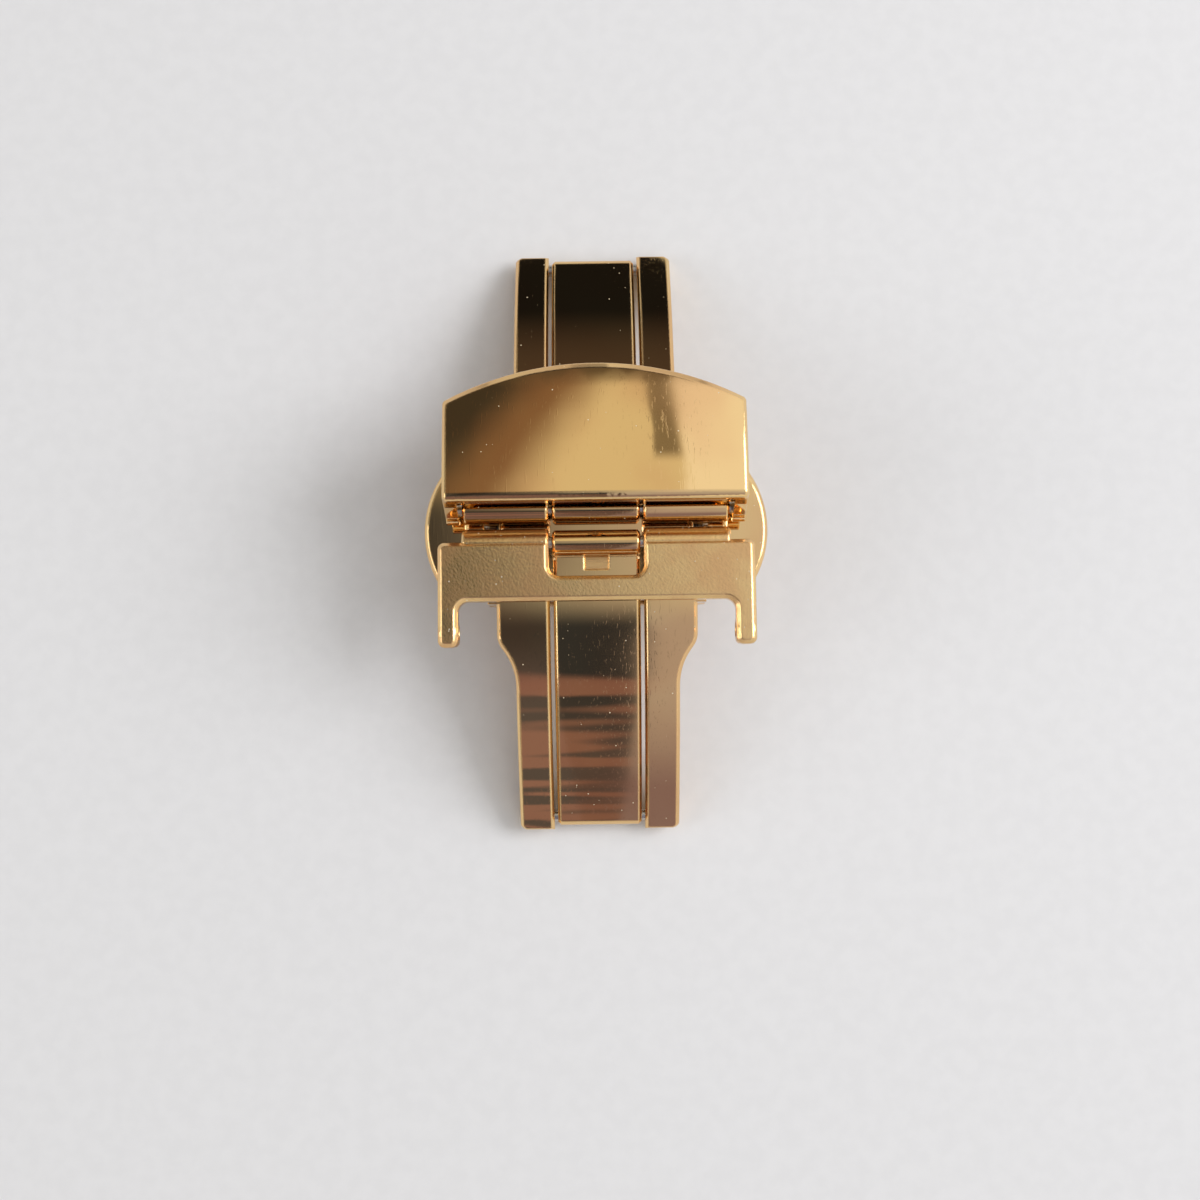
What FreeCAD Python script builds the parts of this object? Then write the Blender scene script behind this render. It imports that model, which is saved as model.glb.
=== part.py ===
import FreeCAD, Part
import os
import re

import Sketcher

# Butterfly clasp for an 18 mm watch strap, closed, cover up.
# +X runs across the strap, +Y towards the cover side, +Z up, away from the wrist.
# The clasp stands on the ends of its arms, with the origin under its middle at that level.
# Base, wings, strap fork, tray and cover are all bent about one line, the arch line,
# which lies along X at the height arch_z, so their thickness is set by radii about it.

# Driving sizes in millimetres, or degrees where the name says so.
SIZES = {
    # Arch
    "half_length": 20.25,
    "arch_radius": 37.5,
    "leaf": 1.3,
    "edge_break": 0.2,
    "arm_corner": 0.5,
    # Base plate in plan
    "arm_outer": 5.44,
    "middle_half": 7.2,
    "middle_length": 5.0,
    "flare_half": 6.63,
    "flare_start": 7.0,
    "shoulder_radius": 1.5,
    "waist_radius": 4.0,
    "bridge_half": 0.58,
    "bridge_lift": 0.33,
    "trough_half": 2.12,
    "trough_depth": 0.5,
    # Wings
    "wing_half": 2.87,
    "wing_gap": 0.24,
    "end_pin_inset": 1.05,
    "end_pin_radius": 0.4,
    "running_gap": 0.03,
    "wing_heel_gap": 0.16,
    # Hinge rows in the middle
    "row_offset": 1.1,
    "row_lift": 0.6,
    "knuckle_radius": 0.82,
    "barrel_radius": 0.95,
    "barrel_break": 0.16,
    "row_pin_radius": 0.38,
    "pin_inset": 0.06,
    "row_half": 8.7,
    "knuckle_gap": 0.22,
    # Strap fork
    "layer_gap": 0.3,
    "fork_thick": 1.0,
    "fork_rise": 0.12,
    "prong_width": 1.3,
    "fork_row_half": 8.75,
    "fork_edge": 4.95,
    "strap_half": 9.0,
    "notch_length": 3.35,
    "notch_round": 0.7,
    "fork_corner": 0.45,
    "fork_break": 0.26,
    "tray_break": 0.2,
    "bar_offset": 6.95,
    "bar_bore_radius": 0.5,
    "eye_radius": 0.9,
    "eye_lip": 0.05,
    # Tray, peg and cover
    "tray_root": 1.35,
    "tray_thick": 0.8,
    "tray_end": 9.2,
    "tray_round": 1.2,
    "strap_gap": 2.1,
    "peg_offset": 5.5,
    "peg_radius": 0.75,
    "peg_height": 1.65,
    "peg_shank": 0.5,
    "peg_dome": 0.25,
    "cover_half": 9.75,
    "cover_near": 1.17,
    "cover_side": 7.77,
    "cover_far": 10.28,
    "cover_thick": 0.95,
    "cover_crown": 0.2,
    "cover_nose": 0.5,
    "cover_break": 0.22,
    "cover_corner": 0.35,
    "ear_inner": 8.92,
    "ear_inset": 0.05,
    "ear_reach": 3.1,
    "clip_thick": 0.6,
    "clip_length": 1.7,
    "clip_offset": 6.6,
    # Mechanism under the base
    "slide_thick": 0.85,
    "slide_gap": 0.06,
    "rail_width": 1.0,
    "rail_hook": 0.6,
    "rail_hook_length": 0.8,
    "back_thick": 0.6,
    "back_round": 0.4,
    "back_edge": 0.2,
    "screw_radius": 0.3,
    "screw_head_radius": 0.58,
    "screw_head": 0.25,
    "screw_slot": 0.14,
    "screw_depth": 0.7,
    "screw_inset": 1.2,
    # Pushers and latches
    "stroke": 0.8,
    "button_gap": 0.1,
    "button_width": 3.4,
    "button_radius": 6.9,
    "button_half": 4.6,
    "button_thick": 1.2,
    "button_break": 0.25,
    "latch_head": 1.05,
    "latch_tongue_half": 2.4,
    "latch_tongue": 1.1,
    "claw_arm": 0.62,
    "claw_width": 0.95,
    "claw_gap": 0.15,
    "catch_half": 0.8,
    "catch_near": 1.9,
    "catch_far": 2.8,
    "catch_sink": 0.25,
    "catch_lead": 0.2,
    "boss_half": 0.68,
    "boss_overlap": 0.4,
    "boss_clear": 0.14,
    # Spring bar that drives the pushers
    "tube_radius": 0.45,
    "tube_drop": 0.84,
    "tube_wall": 0.12,
    "tube_half": 6.2,
    "collar_radius": 0.5,
    "collar_length": 0.22,
    "plunger_radius": 0.26,
    "plunger_flange": 0.3,
    "plunger_seat": 0.3,
    "plunger_gap": 0.2,
    "groove_wall": 0.33,
    # How far a blank or a cut passes the outline that it makes
    "overcut": 1.0,
}

# Places worked out from the sizes above.
PLACES = {
    "under_radius": "arch_radius - leaf",
    "middle_radius": "arch_radius - leaf / 2",
    "arch_z": "-under_radius * cos(asin(half_length / arch_radius))",
    "through": "2 * half_length",
    "top_z": "arch_z + arch_radius",
    "slot_half": "wing_half + wing_gap",
    "end_pin_y": "half_length - end_pin_inset",
    "end_pin_z": "arch_z + sqrt(middle_radius^2 - end_pin_y^2)",
    "heel_y": "bridge_half + wing_heel_gap",
    "row_z": "top_z + row_lift",
    "trough_z": "top_z - trough_depth",
    "tube_z": "top_z - tube_drop",
    "seat_z": "arch_z + sqrt(under_radius^2 - middle_length^2)",
    "slide_top_z": "seat_z - slide_gap",
    "slide_z": "slide_top_z - slide_thick",
    "back_top_z": "slide_z - slide_gap",
    "back_z": "back_top_z - back_thick",
    "fork_under": "arch_radius + layer_gap",
    "fork_half": "strap_half + prong_width",
    "fork_top_z": "row_z + barrel_radius + fork_rise",
    "prong_end": "bar_offset + eye_radius + eye_lip",
    "tray_top": "fork_under + tray_thick",
    "cover_under": "tray_top + strap_gap",
    "bar_z": "fork_top_z - eye_radius - eye_lip",
    "rail_inner": "middle_length - rail_width",
    "hook_inner": "rail_inner - rail_hook",
    "hook_x": "middle_half - rail_hook_length",
    "button_x": "middle_half + stroke + button_gap",
    "button_top_z": "slide_top_z + (button_thick - slide_thick) / 2",
    "button_reach": "button_x + button_width",
    "boss_x": "tube_half + collar_length + stroke + plunger_gap",
    "flare_fall": "flare_half - arm_outer",
    "flare_turn": "shoulder_radius + waist_radius",
    "flare_run": "sqrt(2 * flare_turn * flare_fall - flare_fall^2)",
    "shoulder_share": "shoulder_radius / flare_turn",
}


# Distance within which points count as lying on a face
FINE = 0.002
# The ends and the centre of a sketch's line or arc, as its rules number them
START, END, CENTRE = 1, 2, 3

doc = FreeCAD.newDocument("butterfly_clasp")
parts = []


def fill_sheet(name, cells):
    """A sheet with one named cell to a row."""
    sheet = doc.addObject("Spreadsheet::Sheet", name)
    for row, (alias, text) in enumerate(cells.items(), start=1):
        sheet.set(f"A{row}", alias)
        sheet.set(f"B{row}", text)
        sheet.setAlias(f"B{row}", alias)
    return sheet


def formula(text):
    """A formula over the named sizes, with the sheet of each name written in."""
    def with_sheet(match):
        word = match.group(0)
        if word in SIZES:
            return "Dim." + word
        if word in PLACES:
            return "Place." + word
        return word
    return re.sub(r"[a-z][a-z_]+", with_sheet, str(text))


fill_sheet("Dim", {alias: str(size) for alias, size in SIZES.items()})
fill_sheet("Place", {alias: "=" + formula(text) for alias, text in PLACES.items()})
slate = doc.addObject("Spreadsheet::Sheet", "Slate")
doc.recompute()


def number(text):
    """The value of a formula, worked out in a cell of a spare sheet."""
    slate.set("A1", "=" + formula(text))
    slate.recompute()
    return float(slate.get("A1"))


def bind(item, **formulas):
    """Bind properties to formulas; a double underscore stands for a dot."""
    for prop, text in formulas.items():
        item.setExpression(prop.replace("__", "."), formula(text))


def body(label):
    item = doc.addObject("PartDesign::Body", label)
    item.Label = label
    parts.append(item)
    return item


def origin_item(owner, role):
    return next(f for f in owner.Origin.OriginFeatures if f.Role == role)


def draw_circle(sketch, x, y, radius):
    """A circle placed by its centre."""
    centre = FreeCAD.Vector(number(x), number(y), 0)
    circle = Part.Circle(centre, FreeCAD.Vector(0, 0, 1), number(radius))
    edge = sketch.addGeometry(circle, False)
    for kind, text, value in (("DistanceX", x, centre.x), ("DistanceY", y, centre.y)):
        rule = sketch.addConstraint(Sketcher.Constraint(kind, -1, START, edge, CENTRE,
                                                         value))
        sketch.setExpression(f"Constraints[{rule}]", formula(text))
    rule = sketch.addConstraint(Sketcher.Constraint("Radius", edge, circle.Radius))
    sketch.setExpression(f"Constraints[{rule}]", formula(radius))


def arc_between(start, end, radius):
    """The arc under half a turn from start to end; a minus radius turns it clockwise."""
    chord = end - start
    side = FreeCAD.Vector(-chord.y, chord.x, 0).normalize()
    rise = (radius ** 2 - chord.Length ** 2 / 4) ** 0.5
    centre = (start + end) * 0.5 + side * (rise if radius > 0 else -rise)
    first, last = (start, end) if radius > 0 else (end, start)
    middle = centre + ((start + end) * 0.5 - centre).normalize() * abs(radius)
    return Part.Arc(first, middle, last)


def draw_loop(sketch, corners):
    """A closed outline through corners (x, y), or (x, y, radius) where an arc follows."""
    points = [FreeCAD.Vector(number(c[0]), number(c[1]), 0) for c in corners]
    ends = []
    for at, corner in enumerate(corners):
        start, end = points[at], points[(at + 1) % len(points)]
        if len(corner) == 3:
            turn = number(corner[2])
            edge = sketch.addGeometry(arc_between(start, end, turn), False)
            rule = sketch.addConstraint(Sketcher.Constraint("Radius", edge, abs(turn)))
            sketch.setExpression(f"Constraints[{rule}]", f"abs({formula(corner[2])})")
            ends.append((edge, START, END) if turn > 0 else (edge, END, START))
        else:
            edge = sketch.addGeometry(Part.LineSegment(start, end), False)
            ends.append((edge, START, END))
    for at, corner in enumerate(corners):
        edge, first, last = ends[at]
        following = ends[(at + 1) % len(ends)]
        sketch.addConstraint(
            Sketcher.Constraint("Coincident", edge, last, following[0], following[1]))
        for kind, text, value in (("DistanceX", corner[0], points[at].x),
                                  ("DistanceY", corner[1], points[at].y)):
            rule = sketch.addConstraint(
                Sketcher.Constraint(kind, -1, START, edge, first, value))
            sketch.setExpression(f"Constraints[{rule}]", formula(text))


def draw(owner, name, plane, loops, level="0"):
    """A sketch on one of the body's own planes, moved along its normal by level."""
    sketch = owner.newObject("Sketcher::SketchObject", name)
    sketch.AttachmentSupport = [(origin_item(owner, plane + "_Plane"), "")]
    sketch.MapMode = "FlatFace"
    bind(sketch, AttachmentOffset__Base__z=level)
    for loop in loops:
        if len(loop) == 3 and isinstance(loop[0], str):
            draw_circle(sketch, *loop)
        else:
            draw_loop(sketch, loop)
    return sketch


def extrude(owner, kind, name, plane, loops, length, level="0", both=False, back=False):
    """Pad or Pocket of an outline, over a length from level or to both sides of it."""
    sketch = draw(owner, name + "_outline", plane, loops, level)
    feature = owner.newObject("PartDesign::" + kind, name)
    feature.Profile = sketch
    feature.Midplane = both
    feature.Reversed = back
    bind(feature, Length=length)
    return feature


def pad(owner, name, plane, loops, length, **how):
    return extrude(owner, "Pad", name, plane, loops, length, **how)


def cut(owner, name, plane, loops, length="2 * through", both=True, **how):
    return extrude(owner, "Pocket", name, plane, loops, length, both=both, **how)


def box_loop(x0, x1, y0, y1):
    return [(x0, y0), (x1, y0), (x1, y1), (x0, y1)]


def mirror_loop(corners):
    """An outline given on its right side, from the Y axis up or down, and its mirror."""
    def minus(text):
        return f"-({text})"
    left = []
    for at in range(len(corners) - 1, -1, -1):
        corner = corners[at]
        before = corners[at - 1] if at else ()
        turn = (before[2],) if len(before) == 3 else ()
        left.append((minus(corner[0]), corner[1]) + turn)
    return list(corners) + left


def arc_height(radius, offset):
    """Height of a circle about the arch line at a distance from the middle."""
    return f"arch_z + sqrt(({radius})^2 - ({offset})^2)"


def outside(corners):
    """Loops that cut away all that lies outside an outline."""
    return [box_loop("-through", "through", "-through", "through"), corners]


def edges(feature, test):
    """Names of the edges of a feature whose ends and middle pass a test."""
    doc.recompute()
    names = []
    for at, edge in enumerate(feature.Shape.Edges, start=1):
        first, last = edge.ParameterRange
        points = [edge.valueAt(first + (last - first) * share) for share in (0, 0.5, 1)]
        if test(points):
            names.append(f"Edge{at}")
    return names


def round_edges(owner, name, base, radius, test):
    names = edges(base, test)
    fillet = owner.newObject("PartDesign::Fillet", name)
    fillet.Base = (base, names)
    bind(fillet, Radius=radius)


def break_edges(owner, name, base, size, test):
    names = edges(base, test)
    chamfer = owner.newObject("PartDesign::Chamfer", name)
    chamfer.Base = (base, names)
    bind(chamfer, Size=size)


def radius_at(point):
    """Distance of a point from the arch line."""
    return (point.y ** 2 + (point.z - number("arch_z")) ** 2) ** 0.5


def on_radius(points, text):
    """Whether all the points lie on one cylinder about the arch line."""
    radius = number(text)
    return all(abs(radius_at(point) - radius) < FINE for point in points)


def at_side(points, text):
    """Whether all the points lie at one distance from the YZ plane."""
    side = number(text)
    return all(abs(abs(point.x) - side) < FINE for point in points)


def at_height(points, text):
    """Whether all the points lie at one height."""
    height = number(text)
    return all(abs(point.z - height) < FINE for point in points)


def upright(points):
    """Whether an edge leads from one thickness of a plate to another."""
    return abs(radius_at(points[0]) - radius_at(points[-1])) > FINE


def revolve(owner, name, loops, height, angle="360", both=False, level="0"):
    """A solid turned from outlines on or beside the XZ plane about a line along X."""
    sketch = draw(owner, name + "_outline", "XZ", loops, level)
    axis_z = number(height)
    line = Part.LineSegment(FreeCAD.Vector(0, axis_z, 0), FreeCAD.Vector(1, axis_z, 0))
    axis = sketch.addGeometry(line, True)
    for end in (START, END):
        rule = sketch.addConstraint(
            Sketcher.Constraint("DistanceY", -1, START, axis, end, axis_z))
        sketch.setExpression(f"Constraints[{rule}]", formula(height))
    feature = owner.newObject("PartDesign::Revolution", name)
    feature.Profile = sketch
    feature.ReferenceAxis = (sketch, ["Axis0"])
    feature.Midplane = both
    bind(feature, Angle=angle)


def barrels(owner, name, y, z, radius, spans):
    """Hinge barrels with broken ends, one to each span along X."""
    loops = []
    for first, last in spans:
        loops.append([
            (first, z),
            (last, z),
            (last, f"{z} + {radius} - barrel_break"),
            (f"{last} - barrel_break", f"{z} + {radius}"),
            (f"{first} + barrel_break", f"{z} + {radius}"),
            (first, f"{z} + {radius} - barrel_break"),
        ])
    revolve(owner, name, loops, z, level=f"-({y})")


def both_sides(inner, outer):
    """Two spans along X, from inner to outer and their mirror."""
    return [(inner, outer), (f"-({outer})", f"-({inner})")]


def half_turn(item):
    """Turn a piece half round about the Z axis."""
    item.Placement = FreeCAD.Placement(
        FreeCAD.Vector(0, 0, 0), FreeCAD.Rotation(FreeCAD.Vector(0, 0, 1), 180))


def arch_strip(owner, name, inner, end, half):
    """A strip bent about the arch line, from a place near the middle to a radial end.

    The end lies at the height along Y that its middle radius has there.
    """
    def end_point(radius):
        share = f"({radius}) / middle_radius"
        rise = f"sqrt(middle_radius^2 - ({end})^2)"
        return f"({end}) * {share}", f"arch_z + {rise} * {share}"
    loop = [
        (inner, arc_height("under_radius", inner), "-under_radius"),
        end_point("under_radius"),
        end_point("arch_radius") + ("arch_radius",),
        (inner, arc_height("arch_radius", inner)),
    ]
    return pad(owner, name, "YZ", [loop], f"2 * ({half})", both=True)


def make_wing(label, near_side):
    """A wing: a bent tongue with a rolled end, a knuckle and a mortise for its catch."""
    wing = body(label)
    width = "2 * wing_half"
    arch_strip(wing, label + "_tongue", "heel_y", "end_pin_y", "wing_half")
    pad(wing, label + "_rolled_end", "YZ", [("end_pin_y", "end_pin_z", "leaf / 2")],
        width, both=True)
    barrels(wing, label + "_knuckle", "row_offset", "row_z", "knuckle_radius",
            [("-wing_half", "wing_half")])
    foot = box_loop("heel_y", "row_offset + knuckle_radius", "top_z - leaf / 2", "row_z")
    pad(wing, label + "_knuckle_foot", "YZ", [foot], width, both=True)
    cut(wing, label + "_end_bore", "YZ",
        [("end_pin_y", "end_pin_z", "end_pin_radius + running_gap")])
    cut(wing, label + "_row_bore", "YZ",
        [("row_offset", "row_z", "row_pin_radius + running_gap")])
    cut(wing, label + "_mortise", "XY",
        [box_loop("-catch_half", "catch_half", "catch_near", "catch_far")],
        length="through", both=False, back=True)
    break_edges(wing, label + "_breaks", wing.Tip, "edge_break",
                lambda at: on_radius(at, "arch_radius") and at_side(at, "wing_half"))
    if near_side:
        half_turn(wing)


def make_catch(label, near_side):
    """The post under a wing that a latch holds by its side."""
    catch = body(label)
    low = "back_top_z + claw_gap"
    post = pad(catch, label + "_post", "XY",
               [box_loop("-catch_half", "catch_half", "catch_near", "catch_far")],
               f"top_z - catch_sink - ({low})", level=low)
    break_edges(catch, label + "_lead", post, "catch_lead",
                lambda at: at_height(at, low))
    if near_side:
        half_turn(catch)


def make_base_plate():
    """The H-shaped base: four arms, a bridge between the wings and a flared middle."""
    base = body("base_plate")
    over = "half_length + overcut"
    half = "(half_length * middle_radius / arch_radius)"
    rise = f"sqrt(middle_radius^2 - {half}^2)"
    def end_point(radius, sign):
        share = f"({radius}) / middle_radius"
        return f"{sign}{half} * {share}", f"arch_z + {rise} * {share}"
    loop = [
        end_point("under_radius", "-") + ("-under_radius",),
        end_point("under_radius", ""),
        end_point("arch_radius", "") + ("arch_radius",),
        end_point("arch_radius", "-"),
    ]
    pad(base, "base_bow", "YZ", [loop], "2 * middle_half", both=True)
    pad(base, "base_seat", "XY",
        [box_loop("-middle_half", "middle_half", "-middle_length", "middle_length")],
        "tube_z - seat_z", level="seat_z")
    flare_end = "flare_start + flare_run"
    bend_x = "flare_half - flare_fall * shoulder_share"
    bend_y = "flare_start + flare_run * shoulder_share"
    right = [
        ("arm_outer", f"-({over})"),
        ("arm_outer", f"-({flare_end})", "-waist_radius"),
        (bend_x, f"-({bend_y})", "shoulder_radius"),
        ("flare_half", "-flare_start"),
        ("flare_half", "-middle_length"),
        ("middle_half", "-middle_length"),
        ("middle_half", "middle_length"),
        ("flare_half", "middle_length"),
        ("flare_half", "flare_start", "shoulder_radius"),
        (bend_x, bend_y, "-waist_radius"),
        ("arm_outer", flare_end),
        ("arm_outer", over),
    ]
    cut(base, "base_sides", "XY", outside(mirror_loop(right)))
    cut(base, "wing_slots", "XY", [
        box_loop("-slot_half", "slot_half", "bridge_half", over),
        box_loop("-slot_half", "slot_half", f"-({over})", "-bridge_half"),
    ])
    cut(base, "hinge_trough", "YZ",
        [box_loop("-trough_half", "trough_half", "trough_z", "trough_z + through")])
    pad(base, "bridge", "XY",
        [box_loop("-slot_half", "slot_half", "-bridge_half", "bridge_half")],
        "trough_z + bridge_lift - tube_z", level="tube_z")
    cut(base, "tube_bore", "YZ", [("0", "tube_z", "tube_radius")])
    groove = "slot_half + groove_wall"
    cut(base, "tube_grooves", "XY", [
        box_loop(groove, "through", "-tube_radius", "tube_radius"),
        box_loop("-through", f"-({groove})", "-tube_radius", "tube_radius"),
    ], length="through", level="tube_z", both=False, back=True)
    notch = "boss_half + boss_clear"
    cut(base, "boss_notches", "XY", [
        box_loop("tube_half - running_gap", "through", f"-({notch})", notch),
        box_loop("-through", "running_gap - tube_half", f"-({notch})", notch),
    ])
    cut(base, "end_pin_bores", "YZ", [
        ("end_pin_y", "end_pin_z", "end_pin_radius"),
        ("-end_pin_y", "end_pin_z", "end_pin_radius"),
    ])
    cut(base, "base_screw_holes", "XY", screw_circles("screw_radius"),
        length="screw_depth", level="seat_z", both=False, back=True)
    arm_tip = number("half_length - end_pin_inset")
    round_edges(base, "arm_corners", base.Tip, "arm_corner",
                lambda at: at_side(at, "arm_outer") and upright(at)
                and abs(at[1].y) > arm_tip)
    seat_end = number("middle_length") + FINE
    break_edges(base, "base_breaks", base.Tip, "edge_break",
                lambda at: on_radius(at, "arch_radius") and abs(at[1].y) > seat_end)


def screw_places():
    return [(f"{sx}(middle_half - screw_inset)", f"{sy}(middle_length - rail_width / 2)")
            for sx in ("", "-") for sy in ("", "-")]


def screw_circles(radius):
    return [(x, y, radius) for x, y in screw_places()]


def make_guide_rail(label, near_side):
    """A C-shaped rail that guides the latches and stops them with its end hooks."""
    rail = body(label)
    right = [
        ("hook_x", "rail_inner"),
        ("hook_x", "hook_inner"),
        ("middle_half", "hook_inner"),
        ("middle_half", "middle_length"),
    ]
    pad(rail, label + "_bar", "XY", [mirror_loop(right)], "seat_z - back_top_z",
        level="back_top_z")
    cut(rail, label + "_holes", "XY",
        [c for c in screw_circles("screw_radius") if not c[1].startswith("-")])
    if near_side:
        half_turn(rail)
    return rail


def make_back_cover():
    """The plate that closes the mechanism on the wrist side."""
    cover = body("back_cover")
    plate = pad(cover, "back_plate", "XY", [mirror_loop([
        ("middle_half - back_round", "-middle_length", "back_round"),
        ("middle_half", "back_round - middle_length"),
        ("middle_half", "middle_length - back_round", "back_round"),
        ("middle_half - back_round", "middle_length"),
    ])], "back_thick", level="back_z")
    break_edges(cover, "back_rim", plate, "back_edge",
                lambda at: at_height(at, "back_z"))
    cut(cover, "back_holes", "XY", screw_circles("screw_radius"))
    cut(cover, "head_seats", "XY", screw_circles("screw_head_radius"),
        length="screw_head", level="back_z", both=False, back=True)


def part_item(kind, name, **formulas):
    item = doc.addObject("Part::" + kind, name)
    bind(item, **formulas)
    return item


def make_screws():
    """Four slotted screws that hold the back cover and the rails to the base."""
    screws = []
    for count, (x, y) in enumerate(screw_places(), start=1):
        place = {"Placement__Base__x": x, "Placement__Base__y": y}
        head = part_item("Cylinder", f"screw_head_{count}", Radius="screw_head_radius",
                         Height="screw_head", Placement__Base__z="back_z", **place)
        shank = part_item("Cylinder", f"screw_shank_{count}", Radius="screw_radius",
                          Height="seat_z - back_z + screw_depth",
                          Placement__Base__z="back_z", **place)
        whole = part_item("Fuse", f"screw_blank_{count}")
        whole.Base, whole.Tool = head, shank
        slot = part_item("Box", f"screw_slot_{count}",
                         Length="2 * (screw_head_radius + overcut)",
                         Width="screw_slot", Height="screw_slot",
                         Placement__Base__x=f"{x} - screw_head_radius - overcut",
                         Placement__Base__y=f"{y} - screw_slot / 2",
                         Placement__Base__z="back_z")
        screw = part_item("Cut", f"screw_{count}")
        screw.Base, screw.Tool = whole, slot
        screws.append(screw)
    group = doc.addObject("Part::Compound", "back_cover_screws")
    group.Links = screws
    parts.append(group)


def make_spring_tube():
    """The tube across the base that holds the return spring, with a collar at each end."""
    tube = body("spring_tube")
    bore = "tube_z + tube_radius - tube_wall"
    mouth = "tube_z + plunger_radius + running_gap"
    end = "tube_half + collar_length"
    right = [
        ("tube_half", bore),
        ("tube_half", mouth),
        (end, mouth),
        (end, "tube_z + collar_radius"),
        ("tube_half", "tube_z + collar_radius"),
        ("tube_half", "tube_z + tube_radius"),
    ]
    revolve(tube, "tube_wall", [mirror_loop(right)], "tube_z")


def make_plunger(label, left_side):
    """A steel plunger that carries the spring's push from the tube to a pusher."""
    plunger = body(label)
    inner = "tube_half - collar_length - plunger_flange"
    flange = "tube_half - collar_length"
    revolve(plunger, label + "_rod", [[
        (inner, "tube_z"),
        ("boss_x + plunger_seat", "tube_z"),
        ("boss_x + plunger_seat", "tube_z + plunger_radius"),
        (flange, "tube_z + plunger_radius"),
        (flange, "tube_z + tube_radius - tube_wall - running_gap"),
        (inner, "tube_z + tube_radius - tube_wall - running_gap"),
    ]], "tube_z")
    if left_side:
        half_turn(plunger)


def make_pusher(label, left_side):
    """A D-shaped push button with a boss for the plunger and a pocket for the latch."""
    pusher = body(label)
    low = "button_top_z - button_thick"
    arc_x = "button_reach - button_radius + sqrt(button_radius^2 - button_half^2)"
    pad(pusher, label + "_button", "XY", [[
        ("button_x", "-button_half"),
        (arc_x, "-button_half", "button_radius"),
        (arc_x, "button_half"),
        ("button_x", "button_half"),
    ]], "button_thick", level=low)
    cut(pusher, label + "_pocket", "XY",
        [box_loop("button_x - overcut", "button_x + latch_tongue",
                  "-latch_tongue_half", "latch_tongue_half")],
        length="slide_thick", level="slide_z", both=False, back=True)
    pad(pusher, label + "_boss", "XY",
        [box_loop("boss_x", "button_x + boss_overlap", "-boss_half", "boss_half")],
        "row_z - barrel_radius - boss_clear - slide_top_z", level="slide_top_z")
    cut(pusher, label + "_plunger_seat", "YZ", [("0", "tube_z", "plunger_radius")],
        length="plunger_seat", level="boss_x", both=False, back=True)
    inner = number("button_x + button_gap")
    break_edges(pusher, label + "_rim", pusher.Tip, "button_break",
                lambda at: all(point.x > inner for point in at)
                and (at_height(at, "button_top_z") or at_height(at, low)))
    if left_side:
        half_turn(pusher)


def make_latch(label, left_side):
    """A flat latch: head and neck in the rails, and an arm with a claw at the catch."""
    latch = body(label)
    side_gap = "slide_gap"
    head_right = "hook_x - running_gap"
    head_left = f"{head_right} - latch_head"
    head_half = f"rail_inner - {side_gap}"
    neck_half = f"hook_inner - {side_gap}"
    arm_inner = "catch_far + 2 * claw_gap"
    arm_outer = f"{arm_inner} + claw_arm"
    claw_right = "-(catch_half + claw_gap)"
    claw_left = f"{claw_right} - claw_width"
    tongue_end = "button_x + latch_tongue"
    pad(latch, label + "_plate", "XY", [[
        (claw_left, f"-({arm_outer})"),
        (head_left, f"-({arm_outer})"),
        (head_left, f"-({head_half})"),
        (head_right, f"-({head_half})"),
        (head_right, f"-({neck_half})"),
        ("button_x", f"-({neck_half})"),
        ("button_x", "-latch_tongue_half"),
        (tongue_end, "-latch_tongue_half"),
        (tongue_end, "latch_tongue_half"),
        ("button_x", "latch_tongue_half"),
        ("button_x", neck_half),
        (head_right, neck_half),
        (head_right, head_half),
        (head_left, head_half),
        (head_left, f"-({arm_inner})"),
        (claw_right, f"-({arm_inner})"),
        (claw_right, "-catch_near"),
        (claw_left, "-catch_near"),
    ]], "slide_thick", level="slide_z")
    if left_side:
        half_turn(latch)


def make_pin(label, radius, half, y, z):
    """A straight hinge pin along X."""
    pin = part_item("Cylinder", label, Radius=radius, Height=f"2 * ({half})",
                    Placement__Base__x=f"-({half})", Placement__Base__y=y,
                    Placement__Base__z=z)
    pin.Placement.Rotation = FreeCAD.Rotation(FreeCAD.Vector(0, 1, 0), 90)
    parts.append(pin)


def make_strap_fork():
    """The plate with two prongs that takes the strap's spring bar."""
    fork = body("strap_fork")
    side = "wing_half + knuckle_gap"
    plate = pad(fork, "fork_plate", "XY", [mirror_loop([
        (f"{side} - notch_round", "-notch_length", "notch_round"),
        (side, "notch_round - notch_length"),
        (side, "-row_offset"),
        ("fork_half - fork_corner", "-row_offset", "-fork_corner"),
        ("fork_half", "-row_offset - fork_corner"),
        ("fork_half", "fork_corner - prong_end", "-fork_corner"),
        ("fork_half - fork_corner", "-prong_end"),
        ("strap_half + fork_corner", "-prong_end", "-fork_corner"),
        ("strap_half", "fork_corner - prong_end"),
        ("strap_half", "-fork_edge - notch_round", "notch_round"),
        ("strap_half - notch_round", "-fork_edge"),
    ])], "fork_thick", level="fork_top_z - fork_thick")
    break_edges(fork, "fork_breaks", plate, "fork_break",
                lambda at: at_height(at, "fork_top_z"))
    barrels(fork, "fork_row", "-row_offset", "row_z", "barrel_radius",
            both_sides(side, "fork_row_half"))
    barrels(fork, "fork_eyes", "-bar_offset", "bar_z", "eye_radius",
            both_sides("strap_half", "fork_half"))
    cut(fork, "fork_pin_bore", "YZ", [("-row_offset", "row_z", "row_pin_radius")])
    cut(fork, "spring_bar_bores", "YZ", [("-bar_offset", "bar_z", "bar_bore_radius")])


def peg_tilt():
    return "asin(peg_offset / tray_top)"


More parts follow.
